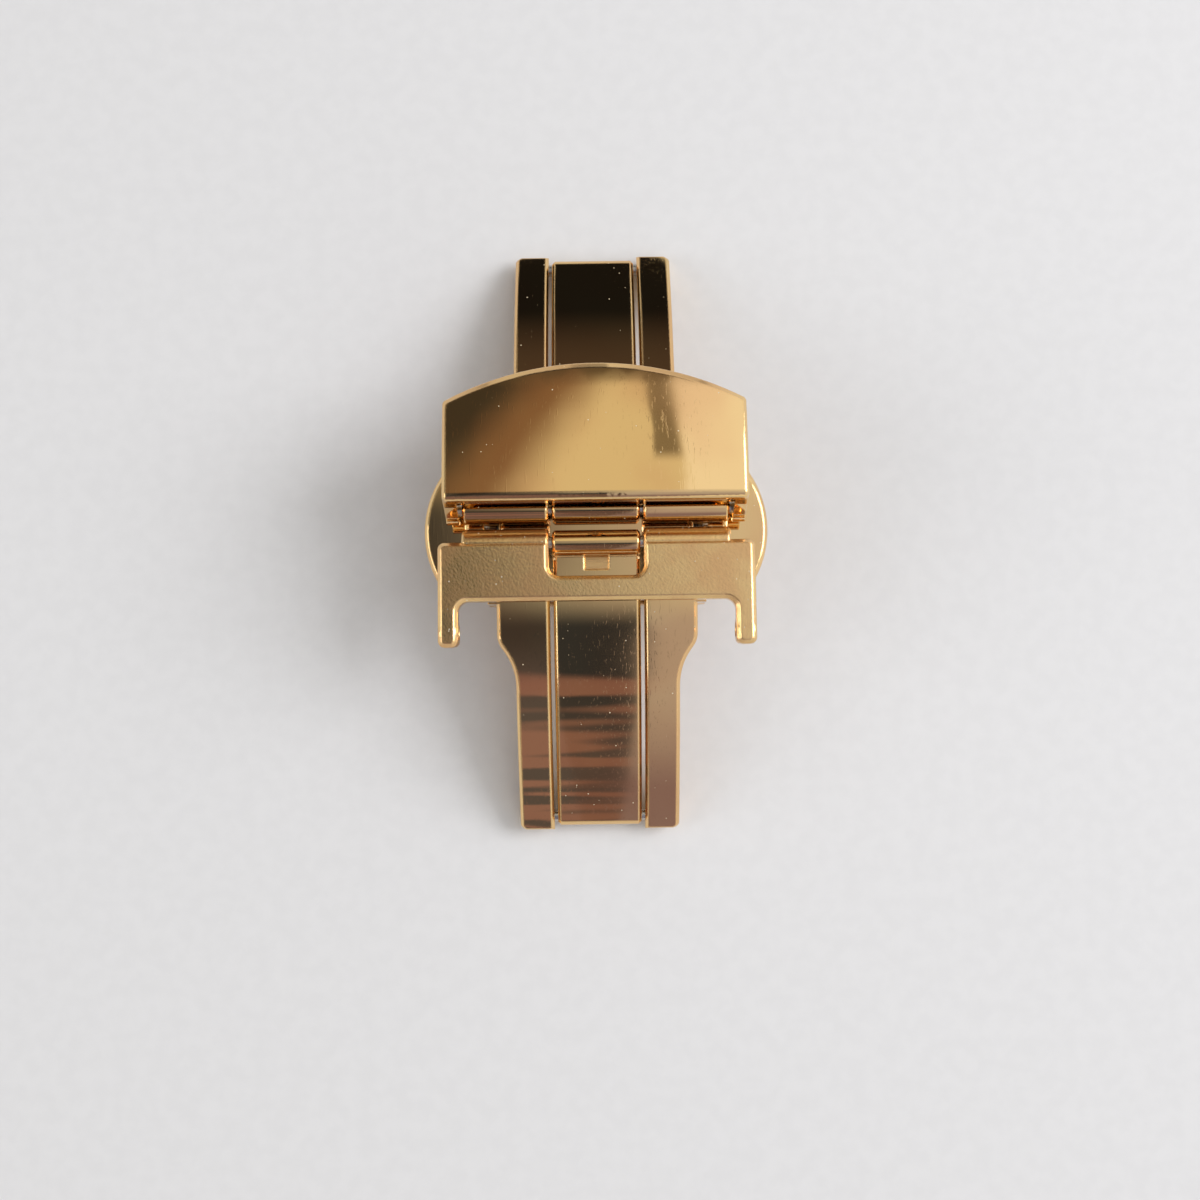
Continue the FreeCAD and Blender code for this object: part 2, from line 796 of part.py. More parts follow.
def make_tray():
    """The plate under the strap's free end, hinged to the far wing."""
    tray = body("strap_tray")
    end = "(tray_end + overcut)"
    pad(tray, "tray_blank", "YZ", [[
        ("tray_root", arc_height("fork_under", "tray_root"), "-fork_under"),
        (end, arc_height("fork_under", end)),
        (end, arc_height("tray_top", end), "tray_top"),
        ("tray_root", arc_height("tray_top", "tray_root")),
    ]], "2 * (row_half + overcut)", both=True)
    side = "wing_half + knuckle_gap"
    cut(tray, "tray_outline", "XY", outside(mirror_loop([
        (side, "row_offset + knuckle_radius + knuckle_gap"),
        (side, "0"),
        ("row_half", "0"),
        ("row_half", "tray_end - tray_round", "tray_round"),
        ("row_half - tray_round", "tray_end"),
    ])))
    break_edges(tray, "tray_breaks", tray.Tip, "tray_break",
                lambda at: on_radius(at, "tray_top")
                and (at_side(at, "row_half") or at[1].y > number("tray_end - tray_round")))
    barrels(tray, "tray_row", "row_offset", "row_z", "barrel_radius",
            both_sides(side, "row_half"))
    cut(tray, "tray_pin_bore", "YZ", [("row_offset", "row_z", "row_pin_radius")])
    hole = cut(tray, "peg_hole", "XY", [("0", "0", "peg_shank")],
               both=False, back=True, level="arch_z")
    lean = hole.Profile[0]
    lean.AttachmentOffset = FreeCAD.Placement(
        FreeCAD.Vector(0, 0, 0), FreeCAD.Rotation(FreeCAD.Vector(1, 0, 0), -1))
    bind(lean, AttachmentOffset__Base__z="arch_z",
         AttachmentOffset__Rotation__Angle=f"-({peg_tilt()})")


def make_peg():
    """The peg that goes through a hole of the strap, square to the tray."""
    peg = body("strap_peg")
    top = "tray_top + peg_height"
    loop = [
        ("0", "fork_under + peg_dome"),
        ("peg_shank", "fork_under + peg_dome"),
        ("peg_shank", "tray_top"),
        ("peg_radius", "tray_top"),
        ("peg_radius", f"{top} - peg_dome"),
        ("peg_radius - peg_dome", top),
        ("0", top),
    ]
    sketch = draw(peg, "peg_profile", "XZ", [loop])
    turned = peg.newObject("PartDesign::Revolution", "peg_turned")
    turned.Profile = sketch
    turned.ReferenceAxis = (sketch, ["V_Axis"])
    turned.Angle = 360
    peg.Placement = FreeCAD.Placement(
        FreeCAD.Vector(0, 0, 0), FreeCAD.Rotation(FreeCAD.Vector(1, 0, 0), -1))
    bind(peg, Placement__Base__z="arch_z", Placement__Rotation__Angle=f"-({peg_tilt()})")


def make_cover():
    """The crowned cover over the strap, with an ear at each end of its hinge row."""
    cover = body("cover_plate")
    wide = "(cover_half + overcut)"
    crown = "((cover_half^2 + cover_crown^2) / (2 * cover_crown))"
    side_top = f"arch_z + cover_under + cover_thick + cover_crown - {crown}" \
               f" + sqrt({crown}^2 - {wide}^2)"
    revolve(cover, "cover_blank", [[
        (wide, "arch_z + cover_under"),
        (wide, side_top, crown),
        (f"-{wide}", side_top),
        (f"-{wide}", "arch_z + cover_under"),
    ]], "arch_z", angle="2 * asin((cover_far + overcut) / cover_under)", both=True)
    bulge = "(cover_far - cover_side)"
    cut(cover, "cover_outline", "XY", outside(mirror_loop([
        ("cover_half", "cover_near"),
        ("cover_half", "cover_side", f"(cover_half^2 + {bulge}^2) / (2 * {bulge})"),
    ])))
    far = number("(cover_side + cover_near) / 2")
    near = number("cover_near")
    middle = number("cover_under + cover_thick / 2")
    round_edges(cover, "cover_corners", cover.Tip, "cover_corner",
                lambda at: upright(at) and at[1].y > far)
    round_edges(cover, "cover_front", cover.Tip, "cover_nose",
                lambda at: all(abs(point.y - near) < FINE for point in at)
                and at[1].x ** 2 < FINE and radius_at(at[1]) > middle)
    break_edges(cover, "cover_rim", cover.Tip, "cover_break",
                lambda at: all(radius_at(point) > middle for point in at)
                and at_side(at, "cover_half") and at[0].y + at[2].y > 2 * far)
    ear = pad(cover, "ear_knuckle", "YZ", [("row_offset", "row_z", "barrel_radius")],
              "cover_half - ear_inner", level="ear_inner")
    under = "arch_z + cover_under + cover_thick / 2"
    web = pad(cover, "ear_web", "YZ", [[
        ("row_offset - barrel_radius + ear_inset", "row_z"),
        ("row_offset + barrel_radius - ear_inset", "row_z"),
        ("cover_near + ear_reach", under),
        ("cover_near + cover_nose / 2", under),
    ]], "cover_half - ear_inner", level="ear_inner")
    doc.recompute()
    ears = cover.newObject("PartDesign::Mirrored", "other_ear")
    ears.Originals = [ear, web]
    ears.MirrorPlane = (origin_item(cover, "YZ_Plane"), [""])
    cover.Tip = ears
    cut(cover, "ear_bores", "YZ",
        [("row_offset", "row_z", "row_pin_radius + running_gap")])


def make_clip(label, left_side):
    """A side clip under the cover that stands beside the tray."""
    clip = body(label)
    first = "(clip_offset - clip_length / 2)"
    last = "(clip_offset + clip_length / 2)"
    low = "(fork_under + layer_gap)"
    pad(clip, label + "_leg", "YZ", [[
        (first, arc_height("cover_under", first), "-cover_under"),
        (last, arc_height("cover_under", last)),
        (f"{last} * {low} / cover_under",
         f"arch_z + sqrt(cover_under^2 - {last}^2) * {low} / cover_under"),
        (f"{first} * {low} / cover_under",
         f"arch_z + sqrt(cover_under^2 - {first}^2) * {low} / cover_under"),
    ]], "clip_thick", level="-strap_half - clip_thick" if left_side else "strap_half")


make_base_plate()
for side in ("near", "far"):
    make_guide_rail(side + "_guide_rail", side == "near")
    make_wing(side + "_wing", side == "near")
    make_catch(side + "_catch", side == "near")
make_pin("near_end_pin", "end_pin_radius", "arm_outer - pin_inset", "-end_pin_y",
         "end_pin_z")
make_pin("far_end_pin", "end_pin_radius", "arm_outer - pin_inset", "end_pin_y",
         "end_pin_z")
make_back_cover()
make_screws()
make_spring_tube()
for side in ("left", "right"):
    make_plunger(side + "_plunger", side == "left")
    make_pusher(side + "_pusher", side == "left")
    make_latch(side + "_latch", side == "left")
    make_clip(side + "_cover_clip", side == "left")
make_strap_fork()
make_pin("strap_fork_pin", "row_pin_radius", "fork_row_half - pin_inset",
         "-row_offset", "row_z")
make_tray()
make_peg()
make_pin("cover_hinge_pin", "row_pin_radius", "cover_half - pin_inset", "row_offset",
         "row_z")
make_cover()

doc.recompute()
for item in doc.Objects:
    if "Invalid" in item.State or "Error" in item.State:
        raise RuntimeError(f"{item.Name} did not build: {item.State}")
for item in parts:
    if item.Shape.isNull() or not item.Shape.isValid():
        raise RuntimeError(f"{item.Label} has no valid shape")

os.makedirs("parts", exist_ok=True)
for item in parts:
    item.Shape.exportStep(f"parts/{item.Label}.step")
    print(item.Label, len(item.Shape.Solids), round(item.Shape.Volume, 3))
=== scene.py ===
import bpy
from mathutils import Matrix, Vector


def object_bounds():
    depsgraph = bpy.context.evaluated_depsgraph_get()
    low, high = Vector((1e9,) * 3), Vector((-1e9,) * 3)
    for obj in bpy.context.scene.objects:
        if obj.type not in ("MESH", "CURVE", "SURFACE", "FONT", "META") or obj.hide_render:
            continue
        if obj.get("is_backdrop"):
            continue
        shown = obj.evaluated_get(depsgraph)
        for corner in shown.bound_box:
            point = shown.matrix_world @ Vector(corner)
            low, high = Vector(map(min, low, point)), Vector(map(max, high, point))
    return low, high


bl_info = {
    "name": "Butterfly clasp",
    "version": (1, 0, 0),
    "blender": (4, 5, 0),
    "location": "View3D > Sidebar > Clasp",
    "description": "Dresses a gold butterfly clasp for a watch strap and sets up its studio",
    "category": "Object",
}

import math

import bmesh
import bpy
from bpy.props import FloatProperty, FloatVectorProperty
from mathutils import Euler, Vector

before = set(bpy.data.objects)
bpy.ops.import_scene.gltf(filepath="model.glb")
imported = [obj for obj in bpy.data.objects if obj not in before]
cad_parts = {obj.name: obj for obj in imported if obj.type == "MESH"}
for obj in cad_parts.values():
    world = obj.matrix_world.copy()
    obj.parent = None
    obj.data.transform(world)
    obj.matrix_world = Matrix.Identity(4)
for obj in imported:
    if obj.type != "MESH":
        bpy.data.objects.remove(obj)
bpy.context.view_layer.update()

MM = 0.001
# Most values of a noise pattern lie between these.
NOISE_LOW, NOISE_HIGH = 0.3, 0.7
SOFT_STEP = {"interpolation_type": "SMOOTHSTEP"}


def linear(code):
    """Linear red, green and blue of an sRGB hex colour."""
    channels = [int(code[at:at + 2], 16) / 255 for at in (1, 3, 5)]
    return [c / 12.92 if c <= 0.04045 else ((c + 0.055) / 1.055) ** 2.4
            for c in channels]


def length(name, description, default):
    """A length that a user can change."""
    return FloatProperty(name=name, description=description, default=default, min=0.0,
                         precision=6, subtype="DISTANCE", unit="LENGTH")


def colour(name, description, code):
    """A colour that a user can change, given as sRGB hex."""
    return FloatVectorProperty(name=name, description=description, subtype="COLOR",
                               size=3, min=0.0, max=1.0, default=linear(code))


class ClaspColours(bpy.types.PropertyGroup):
    """Colours of the clasp's finishes."""
    gold: colour("Gold", "Gold plating where it is clean and bright", "#EFCB90")
    rose: colour("Deep gold", "Gold plating where it is a little redder", "#E7BC86")
    steel: colour("Steel", "Bare stainless steel of the pins", "#C9C5BE")
    dust: colour("Dust", "Dry dust that lies on the plating", "#D9C9A8")


class ClaspGrain(bpy.types.PropertyGroup):
    """Real sizes of the marks in the clasp's surfaces."""
    wave: length("Polish wave", "Length of the soft waves that a buffing wheel leaves",
                 2.4 * MM)
    hairline: length("Hairline spacing", "Distance between fine wear scratches", 0.14 * MM)
    scratch: length("Scratch length", "Length of a fine wear scratch", 3.0 * MM)
    grit: length("Grit", "Grain of the satin surface of the fork", 0.16 * MM)
    brush: length("Brush spacing", "Distance between brush lines", 0.12 * MM)
    brush_run: length("Brush length", "Length of one brush line", 5.0 * MM)
    dust_spacing: length("Dust spacing", "Mean distance between dust specks", 0.38 * MM)
    dust_size: length("Dust size", "Radius of a large dust speck", 0.055 * MM)
    edge: length("Edge wear", "Radius that polishing gives the edges", 0.16 * MM)
    wave_height: length("Polish wave height", "Height of the buffing waves", 0.0025 * MM)
    scratch_depth: length("Scratch depth", "Depth of a fine wear scratch", 0.0003 * MM)
    grit_height: length("Grit height", "Height of the satin grain", 0.006 * MM)
    brush_depth: length("Brush depth", "Depth of a brush line or lathe ring", 0.002 * MM)


class ClaspStudio(bpy.types.PropertyGroup):
    """The floor, the camera and the lights."""
    floor_colour: colour("Floor", "Colour of the floor", "#DADADA")
    floor_radius: length("Floor radius", "Radius of the floor disc", 2.5)
    lens: FloatProperty(name="Lens", description="Focal length in millimetres",
                        default=43.5, subtype="DISTANCE_CAMERA")
    camera_x: FloatProperty(name="Camera X", description="Camera's place along X",
                            default=0.09 * MM, unit="LENGTH")
    camera_y: FloatProperty(name="Camera Y", description="Camera's place along Y",
                            default=-12.73 * MM, unit="LENGTH")
    camera_height: length("Camera height", "Height of the camera over the floor",
                          101.85 * MM)
    camera_tilt: FloatProperty(name="Camera tilt", description="Tilt from straight down",
                               default=math.radians(4.76), subtype="ANGLE")
    camera_roll: FloatProperty(name="Camera roll", description="Turn about the view",
                               default=math.radians(-0.78), subtype="ANGLE")


def add_node(tree, kind, inputs=None, output=0, **settings):
    """Add a node with its settings, link or set its inputs, and give back one output."""
    node = tree.nodes.new(kind)
    for name, value in settings.items():
        setattr(node, name, value)
    for name, value in (inputs or {}).items():
        if isinstance(value, bpy.types.NodeSocket):
            tree.links.new(value, node.inputs[name])
        else:
            node.inputs[name].default_value = value
    return node.outputs[output] if node.outputs else None


def opaque(values):
    """A colour with full opacity."""
    return (*values, 1.0)


def cleared_tree(owner):
    """The empty node tree of a material or a world."""
    owner.use_nodes = True
    owner.node_tree.nodes.clear()
    return owner.node_tree


def set_surface(tree, inputs):
    """End a material in one surface shader."""
    shader = add_node(tree, "ShaderNodeBsdfPrincipled", inputs)
    add_node(tree, "ShaderNodeOutputMaterial", {"Surface": shader})


def place_on_piece(tree, scale=(1, 1, 1), turn=0.0, shift=(0, 0, 0)):
    """The place on the piece, stretched, turned about Z and shifted."""
    place = add_node(tree, "ShaderNodeTexCoord", output="Object")
    return add_node(tree, "ShaderNodeMapping",
                    {"Vector": place, "Scale": scale, "Rotation": (0, 0, turn),
                     "Location": shift})


def two_tone(tree, pattern, low, high, first, second):
    """A colour that turns softly from first to second as a pattern goes low to high."""
    share = add_node(tree, "ShaderNodeMapRange", {0: pattern, 1: low, 2: high}, **SOFT_STEP)
    return add_node(tree, "ShaderNodeMix", {0: share, 6: opaque(first), 7: opaque(second)},
                    output=2, data_type="RGBA")


def smear_range(tree, pattern, least, most):
    """A roughness that drifts from least to most with a noise pattern."""
    return add_node(tree, "ShaderNodeMapRange",
                    {0: pattern, 1: NOISE_LOW, 2: NOISE_HIGH, 3: least, 4: most},
                    **SOFT_STEP)


def dust_mask(tree, grain, share):
    """White where a dust speck lies: about that share of the cells has one."""
    cells = add_node(tree, "ShaderNodeTexVoronoi",
                     {"Vector": place_on_piece(tree), "Scale": 1 / grain.dust_spacing})
    reach = grain.dust_size / grain.dust_spacing
    chance = add_node(tree, "ShaderNodeSeparateColor",
                      {"Color": cells.node.outputs["Color"]}, output="Red")
    radius = add_node(tree, "ShaderNodeMapRange",
                      {0: chance, 1: 1 - share, 2: 1.0, 3: 0.0, 4: reach}, **SOFT_STEP)
    inside = add_node(tree, "ShaderNodeMath", {0: radius, 1: cells}, operation="SUBTRACT")
    return add_node(tree, "ShaderNodeMapRange", {0: inside, 1: 0.0, 2: 0.4 * reach},
                    **SOFT_STEP)


def dusty_plating(tree, colours, pattern, high, specks):
    """The plating's colour and metal share, with dust that is neither gold nor metal."""
    plating = two_tone(tree, pattern, 0.35, high, colours.gold, colours.rose)
    return {
        "Base Color": add_node(tree, "ShaderNodeMix",
                               {0: specks, 6: plating, 7: opaque(colours.dust)},
                               output=2, data_type="RGBA"),
        "Metallic": add_node(tree, "ShaderNodeMath", {0: 1.0, 1: specks},
                             operation="SUBTRACT"),
    }


def relief(tree, grain, layers):
    """Edges softened as polishing leaves them, then each (pattern, height) on top."""
    normal = add_node(tree, "ShaderNodeBevel", {"Radius": grain.edge}, samples=6)
    for pattern, height in layers:
        normal = add_node(tree, "ShaderNodeBump",
                          {"Height": pattern, "Distance": height, "Strength": 1.0,
                           "Normal": normal})
    return normal


def scratches(tree, grain, turn, seed):
    """White in long thin lines along one direction."""
    place = place_on_piece(tree, (1 / grain.hairline, 1 / grain.scratch,
                                  1 / grain.hairline), turn, (seed, seed, 0))
    lines = add_node(tree, "ShaderNodeTexNoise",
                     {"Vector": place, "Scale": 1.0, "Detail": 2.0, "Roughness": 0.6})
    return add_node(tree, "ShaderNodeMapRange", {0: lines, 1: 0.64, 2: 0.72}, **SOFT_STEP)


# Yellow gold plating on steel, buffed to a mirror.
# The eye gets sharp reflections, slightly bent by buffing waves, hairlines that show
# only in highlights, a faint drift between yellow and redder gold, and dry dust.
def mirror_gold(tree, colours, grain):
    place = place_on_piece(tree)
    drift = add_node(tree, "ShaderNodeTexNoise",
                     {"Vector": place, "Scale": 1 / (3 * grain.wave), "Detail": 2.0})
    wave = add_node(tree, "ShaderNodeTexNoise",
                    {"Vector": place, "Scale": 1 / grain.wave, "Detail": 0.0})
    specks = dust_mask(tree, grain, 0.3)
    dull = add_node(tree, "ShaderNodeMath", {0: specks, 1: 0.7}, operation="MULTIPLY")
    roughness = add_node(tree, "ShaderNodeMath",
                         {0: smear_range(tree, drift, 0.02, 0.06), 1: dull},
                         operation="MAXIMUM")
    set_surface(tree, {
        **dusty_plating(tree, colours, drift, 0.65, specks),
        "Roughness": roughness,
        "Normal": relief(tree, grain, [
            (wave, grain.wave_height),
            (scratches(tree, grain, math.radians(6), 3.0), grain.scratch_depth),
            (scratches(tree, grain, math.radians(-38), 11.0), grain.scratch_depth)]),
    })


# The same plating over a finely blasted face.
# The eye gets a soft sheen in place of reflections, with a grit just fine enough to
# glitter, and more dust held by the rough face.
def satin_gold(tree, colours, grain):
    place = place_on_piece(tree)
    patch = add_node(tree, "ShaderNodeTexNoise",
                     {"Vector": place, "Scale": 1 / grain.wave, "Detail": 3.0})
    grit = add_node(tree, "ShaderNodeTexNoise",
                    {"Vector": place, "Scale": 1 / grain.grit, "Detail": 3.0})
    set_surface(tree, {
        **dusty_plating(tree, colours, patch, 0.7, dust_mask(tree, grain, 0.8)),
        "Roughness": smear_range(tree, patch, 0.17, 0.25),
        "Normal": relief(tree, grain, [(grit, grain.grit_height)]),
    })


# The plating over brushed steel, on faces that are hidden in use.
# The eye gets fine parallel lines and a highlight drawn out across them.
def brushed_gold(tree, colours, grain):
    place = place_on_piece(tree, (1 / grain.brush_run, 1 / grain.brush, 1 / grain.brush))
    lines = add_node(tree, "ShaderNodeTexNoise",
                     {"Vector": place, "Scale": 1.0, "Detail": 3.0, "Roughness": 0.7})
    set_surface(tree, {
        "Base Color": two_tone(tree, lines, NOISE_LOW, NOISE_HIGH, colours.rose,
                               colours.gold),
        "Metallic": 1.0,
        "Roughness": smear_range(tree, lines, 0.22, 0.38),
        "Normal": relief(tree, grain, [(lines, grain.brush_depth)]),
    })


# Bare stainless steel, turned on a lathe.
# The eye gets a cold grey against the gold and faint rings round the pin.
def turned_steel(tree, colours, grain):
    place = place_on_piece(tree, (1 / grain.brush, 1 / grain.brush_run,
                                  1 / grain.brush_run))
    rings = add_node(tree, "ShaderNodeTexNoise",
                     {"Vector": place, "Scale": 1.0, "Detail": 2.0})
    set_surface(tree, {
        "Base Color": two_tone(tree, rings, NOISE_LOW, NOISE_HIGH, colours.steel,
                               [0.8 * c for c in colours.steel]),
        "Metallic": 1.0,
        "Roughness": smear_range(tree, rings, 0.2, 0.32),
        "Normal": relief(tree, grain, [(rings, grain.brush_depth)]),
    })


# Matt drawing paper, laid flat under the clasp.
# The eye gets an even pale ground with a faint mottle of fibres.
def matt_paper(tree, studio):
    fibre = add_node(tree, "ShaderNodeTexNoise",
                     {"Vector": place_on_piece(tree), "Scale": 1 / (1.2 * MM),
                      "Detail": 4.0})
    set_surface(tree, {
        "Base Color": two_tone(tree, fibre, NOISE_LOW, NOISE_HIGH, studio.floor_colour,
                               [0.97 * c for c in studio.floor_colour]),
        "Roughness": 0.85,
    })


FINISHES = {
    "gold_plate_mirror_polished": mirror_gold,
    "gold_plate_fine_satin": satin_gold,
    "gold_plate_brushed": brushed_gold,
    "steel_turned": turned_steel,
}


def dress(scene, finish, *names):
    """Give a finish, made once, to every material slot of some of the clasp's solids."""
    material = bpy.data.materials.get(finish)
    if material is None:
        material = bpy.data.materials.new(finish)
        FINISHES[finish](cleared_tree(material), scene.clasp_colours, scene.clasp_grain)
    for name in names:
        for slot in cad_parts[name].material_slots:
            slot.material = material


class ClaspPiece:
    """What the clasp's operators have in common."""
    bl_options = {"REGISTER", "UNDO"}


class CLASP_OT_base_plate(ClaspPiece, bpy.types.Operator):
    """Mirror-polish the H-shaped base plate"""
    bl_idname = "clasp.base_plate"
    bl_label = "Base plate"

    def execute(self, context):
        dress(context.scene, "gold_plate_mirror_polished", "base_plate")
        return {"FINISHED"}


class CLASP_OT_wings(ClaspPiece, bpy.types.Operator):
    """Mirror-polish the two wings and brush their catches"""
    bl_idname = "clasp.wings"
    bl_label = "Wings"

    def execute(self, context):
        dress(context.scene, "gold_plate_mirror_polished", "near_wing", "far_wing")
        dress(context.scene, "gold_plate_brushed", "near_catch", "far_catch")
        return {"FINISHED"}


class CLASP_OT_mechanism(ClaspPiece, bpy.types.Operator):
    """Brush the rails, latches and back cover, and bare the screws"""
    bl_idname = "clasp.mechanism"
    bl_label = "Latch mechanism"

    def execute(self, context):
        dress(context.scene, "gold_plate_brushed",
              "near_guide_rail", "far_guide_rail", "left_latch", "right_latch",
              "back_cover")
        dress(context.scene, "steel_turned", "back_cover_screws")
        return {"FINISHED"}


class CLASP_OT_push_buttons(ClaspPiece, bpy.types.Operator):
    """Polish the push buttons and the spring tube, and bare the plungers"""
    bl_idname = "clasp.push_buttons"
    bl_label = "Push buttons"

    def execute(self, context):
        dress(context.scene, "gold_plate_mirror_polished",
              "left_pusher", "right_pusher", "spring_tube")
        dress(context.scene, "steel_turned", "left_plunger", "right_plunger")
        return {"FINISHED"}


class CLASP_OT_hinge_pins(ClaspPiece, bpy.types.Operator):
    """Turn the four hinge pins from bare steel"""
    bl_idname = "clasp.hinge_pins"
    bl_label = "Hinge pins"

    def execute(self, context):
        dress(context.scene, "steel_turned",
              "near_end_pin", "far_end_pin", "strap_fork_pin", "cover_hinge_pin")
        return {"FINISHED"}


class CLASP_OT_strap_fork(ClaspPiece, bpy.types.Operator):
    """Give the strap fork its fine satin face"""
    bl_idname = "clasp.strap_fork"
    bl_label = "Strap fork"

    def execute(self, context):
        dress(context.scene, "gold_plate_fine_satin", "strap_fork")
        return {"FINISHED"}


class CLASP_OT_tray(ClaspPiece, bpy.types.Operator):
    """Polish the tray under the strap and its peg"""
    bl_idname = "clasp.tray"
    bl_label = "Strap tray and peg"

    def execute(self, context):
        dress(context.scene, "gold_plate_mirror_polished", "strap_tray", "strap_peg")
        return {"FINISHED"}


class CLASP_OT_cover(ClaspPiece, bpy.types.Operator):
    """Mirror-polish the crowned cover and its side clips"""
    bl_idname = "clasp.cover"
    bl_label = "Cover"

    def execute(self, context):
        dress(context.scene, "gold_plate_mirror_polished",
              "cover_plate", "left_cover_clip", "right_cover_clip")
        return {"FINISHED"}


# What the polished metal mirrors, as tones laid over one another: a first tone, then one
# (tone, steps) for each coat. A step (reading, from, to) rises softly from nought to one,
# and a coat covers by the product of its steps. Each tone may be coats in its turn.
# Readings: across and along are a direction over its own height, so that they run over
# the ceiling like a floor plan; slant leans with the cover's reflection; stripes is a
# noise; height and ahead are the direction's own upward and far parts.
STRIPES = (("along", -0.4, -0.6), ("stripes", 0.47, 0.56))
OVERHEAD = ("#303036", ("#E0E0E4", ("across", -0.16, 0.14)))
NEAR_MIDDLE = ("#373C48", ("#5A5560", ("along", -0.5, -1.2)), ("#8A6E72", *STRIPES))
NEAR_LEFT = ("#45444C", ("#5C5B6A", ("along", -0.3, -0.6)), ("#937983", *STRIPES))
NEAR_RIGHT = ("#BFBFCE", ("#90849A", ("along", -0.5, -1.6)))
NEAR = (NEAR_MIDDLE, (NEAR_LEFT, ("across", -0.031, -0.036)),
        (NEAR_RIGHT, ("across", 0.029, 0.034)))
PANEL = ("#46433E",
         ("#8C735F", ("slant", -0.29, -0.2)),
         ("#E4DDC9", ("slant", -0.2, -0.1)),
         ("#FFFFFF", ("across", 0.106, 0.12)),
         ("#8C8475", ("across", 0.074, 0.078), ("across", 0.118, 0.104),
          ("along", 0.36, 0.42)),
         ("#6A6053", ("along", 0.74, 0.86)))
FAR = ("#524A45", ("#1C1C1E", ("along", 0.95, 2.2)))
ROOM = (OVERHEAD,
        (NEAR, ("along", -0.14, -0.3)),
        (PANEL, ("along", 0.14, 0.2)),
        (FAR, ("along", 0.88, 0.94)),
        ("#FAFAF8", ("across", 0.26, 0.36)),
        ("#D2CFC8", ("across", -0.5, -0.6), ("across", -1.3, -1.1)),
        ("#D8D7D5", ("height", 0.26, 0.12), ("ahead", 0.5, 0.2)),
        ("#D8D7D5", ("height", 0.15, 0.09)))
SLANT = 0.19
STRIPE_SCALE = (2.5, 5.5, 1.0)


def lay_coats(tree, readings, coats):
    """Lay the tones of a room's part over one another."""
    if isinstance(coats, str):
        return opaque(linear(coats))
    result = lay_coats(tree, readings, coats[0])
    for tone, *steps in coats[1:]:
        cover = None
        for reading, start, end in steps:
            step = add_node(tree, "ShaderNodeMapRange",
                            {0: readings[reading], 1: start, 2: end}, **SOFT_STEP)
            cover = step if cover is None else add_node(
                tree, "ShaderNodeMath", {0: cover, 1: step}, operation="MULTIPLY")
        result = add_node(tree, "ShaderNodeMix",
                          {0: cover, 6: result, 7: lay_coats(tree, readings, tone)},
                          output=2, data_type="RGBA")
    return result


def room_readings(tree):
    """What the room's steps read, from the direction that a ray takes."""
    ray = add_node(tree, "ShaderNodeTexCoord", output="Generated")
    parts = add_node(tree, "ShaderNodeSeparateXYZ", {"Vector": ray}).node.outputs
    height = add_node(tree, "ShaderNodeMath", {0: parts["Z"], 1: 0.1}, operation="MAXIMUM")
    across, along = (add_node(tree, "ShaderNodeMath", {0: parts[axis], 1: height},
                              operation="DIVIDE") for axis in "XY")
    lean = add_node(tree, "ShaderNodeMath", {0: along, 1: SLANT}, operation="MULTIPLY")
    slant = add_node(tree, "ShaderNodeMath", {0: across, 1: lean}, operation="SUBTRACT")
    spot = add_node(tree, "ShaderNodeCombineXYZ", {"X": across, "Y": along})
    place = add_node(tree, "ShaderNodeMapping", {"Vector": spot, "Scale": STRIPE_SCALE})
    stripes = add_node(tree, "ShaderNodeTexNoise",
                       {"Vector": place, "Scale": 1.0, "Detail": 1.0})
    return {"across": across, "along": along, "slant": slant, "stripes": stripes,
            "height": parts["Z"], "ahead": parts["Y"]}


def make_room(scene):
    """A plain studio room that the polished metal mirrors."""
    scene.world = bpy.data.worlds.new("studio_room")
    tree = cleared_tree(scene.world)
    light = add_node(tree, "ShaderNodeBackground",
                     {"Color": lay_coats(tree, room_readings(tree), ROOM),
                      "Strength": 1.0})
    add_node(tree, "ShaderNodeOutputWorld", {"Surface": light})


def make_floor(studio):
    """A plain pale disc under the clasp."""
    mesh = bpy.data.meshes.new("floor")
    shape = bmesh.new()
    bmesh.ops.create_circle(shape, cap_ends=True, segments=96, radius=studio.floor_radius)
    bmesh.ops.translate(shape, verts=shape.verts, vec=(0, 0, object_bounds()[0].z))
    shape.to_mesh(mesh)
    shape.free()
    floor = bpy.data.objects.new("floor", mesh)
    bpy.context.scene.collection.objects.link(floor)
    material = bpy.data.materials.new("paper_matt")
    matt_paper(cleared_tree(material), studio)
    mesh.materials.append(material)
    floor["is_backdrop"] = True


# Name, then place and side in metres, power in watts and tint.
LAMPS = {
    "window_light": ((0.42, 0.08, 0.30), 0.3, 2.2, "#FBFBFF"),
    "left_fill": ((-0.46, -0.05, 0.22), 0.3, 0.9, "#FFFFFF"),
}


def make_lamp(name, place, size, power, tint):
    """A square soft box that looks at the clasp and doesn't show itself."""
    lamp = bpy.data.lights.new(name, "AREA")
    lamp.shape = "SQUARE"
    lamp.size = size
    lamp.energy = power
    lamp.color = linear(tint)
    holder = bpy.data.objects.new(name, lamp)
    bpy.context.scene.collection.objects.link(holder)
    holder.location = place
    holder.rotation_euler = (-Vector(place)).to_track_quat("-Z", "Y").to_euler()
    holder.visible_camera = False


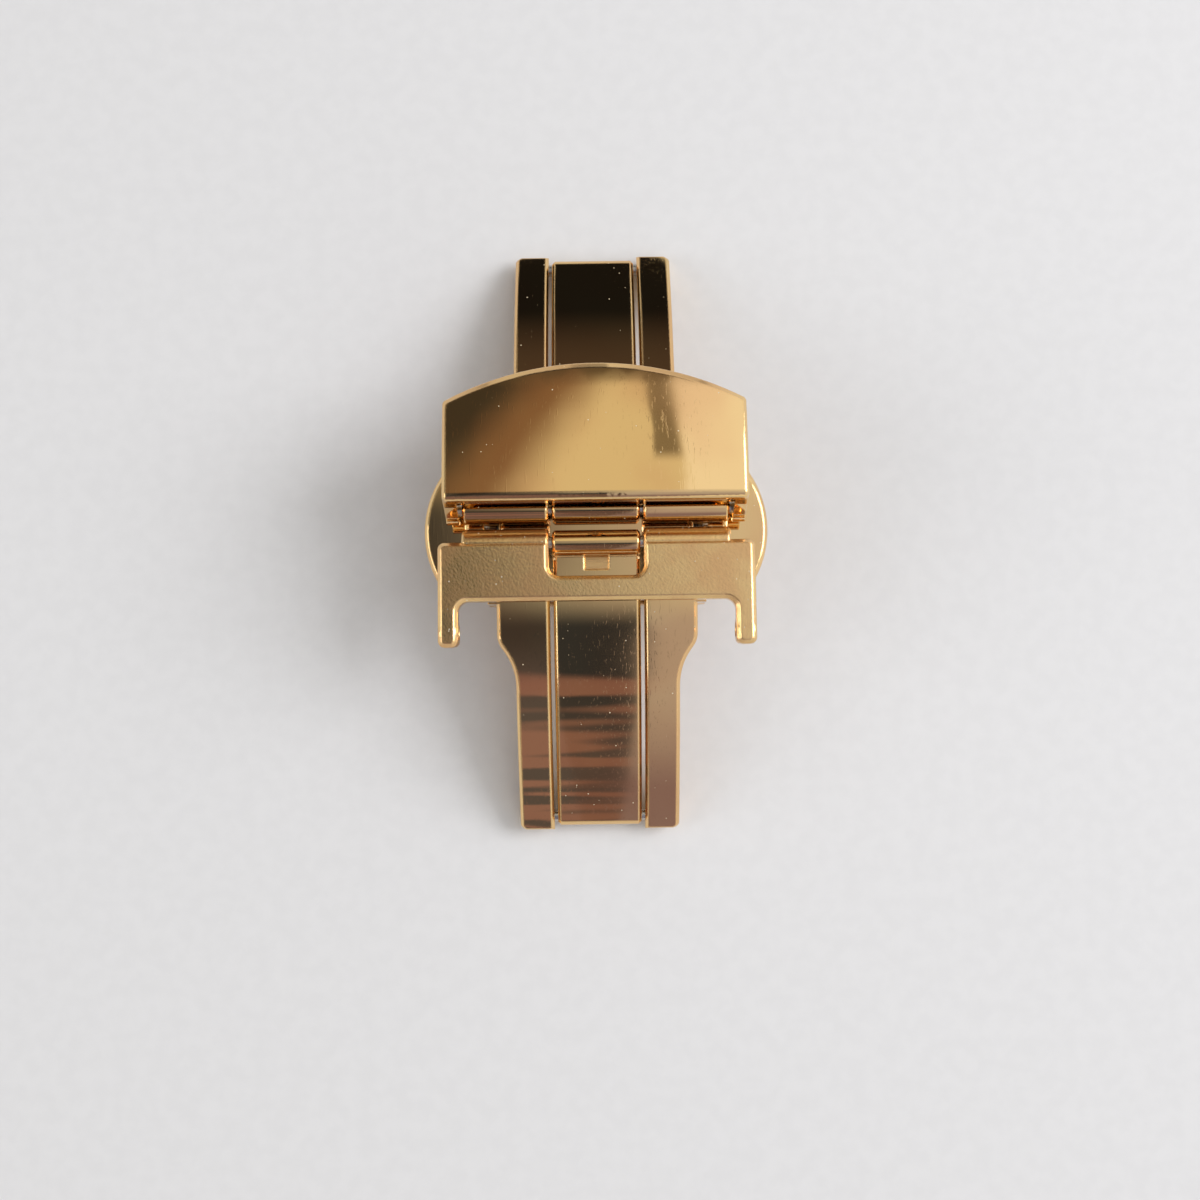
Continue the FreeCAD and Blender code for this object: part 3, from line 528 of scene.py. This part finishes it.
class CLASP_OT_stage(ClaspPiece, bpy.types.Operator):
    """Set up the floor, the room, the lamps and the camera"""
    bl_idname = "clasp.stage"
    bl_label = "Studio"

    def execute(self, context):
        scene = context.scene
        studio = scene.clasp_studio
        scene.view_settings.view_transform = "Standard"
        make_room(scene)
        make_floor(studio)
        for name, lamp in LAMPS.items():
            make_lamp(name, *lamp)
        camera = bpy.data.cameras.new("camera")
        camera.lens = studio.lens
        camera.clip_start = 0.005
        camera.clip_end = 10.0
        holder = bpy.data.objects.new("camera", camera)
        scene.collection.objects.link(holder)
        holder.location = (studio.camera_x, studio.camera_y, studio.camera_height)
        holder.rotation_euler = Euler((studio.camera_tilt, 0, studio.camera_roll))
        scene.camera = holder
        return {"FINISHED"}


class CLASP_PT_panel(bpy.types.Panel):
    """The clasp's pieces and the values that shape their looks"""
    bl_idname = "CLASP_PT_panel"
    bl_label = "Butterfly clasp"
    bl_space_type = "VIEW_3D"
    bl_region_type = "UI"
    bl_category = "Clasp"

    def draw(self, context):
        layout = self.layout
        for operator in OPERATORS:
            layout.operator(operator.bl_idname)
        for group in (context.scene.clasp_colours, context.scene.clasp_grain,
                      context.scene.clasp_studio):
            box = layout.box()
            for name in group.__annotations__:
                box.prop(group, name)


OPERATORS = (
    CLASP_OT_base_plate,
    CLASP_OT_wings,
    CLASP_OT_mechanism,
    CLASP_OT_push_buttons,
    CLASP_OT_hinge_pins,
    CLASP_OT_strap_fork,
    CLASP_OT_tray,
    CLASP_OT_cover,
    CLASP_OT_stage,
)
GROUPS = {
    "clasp_colours": ClaspColours,
    "clasp_grain": ClaspGrain,
    "clasp_studio": ClaspStudio,
}


def register():
    for kind in (*GROUPS.values(), *OPERATORS, CLASP_PT_panel):
        bpy.utils.register_class(kind)
    for name, group in GROUPS.items():
        setattr(bpy.types.Scene, name, bpy.props.PointerProperty(type=group))


def unregister():
    for name in GROUPS:
        delattr(bpy.types.Scene, name)
    for kind in reversed((*GROUPS.values(), *OPERATORS, CLASP_PT_panel)):
        bpy.utils.unregister_class(kind)


def main():
    register()
    for operator in OPERATORS:
        group, name = operator.bl_idname.split(".")
        getattr(getattr(bpy.ops, group), name)()


if __name__ == "__main__":
    main()
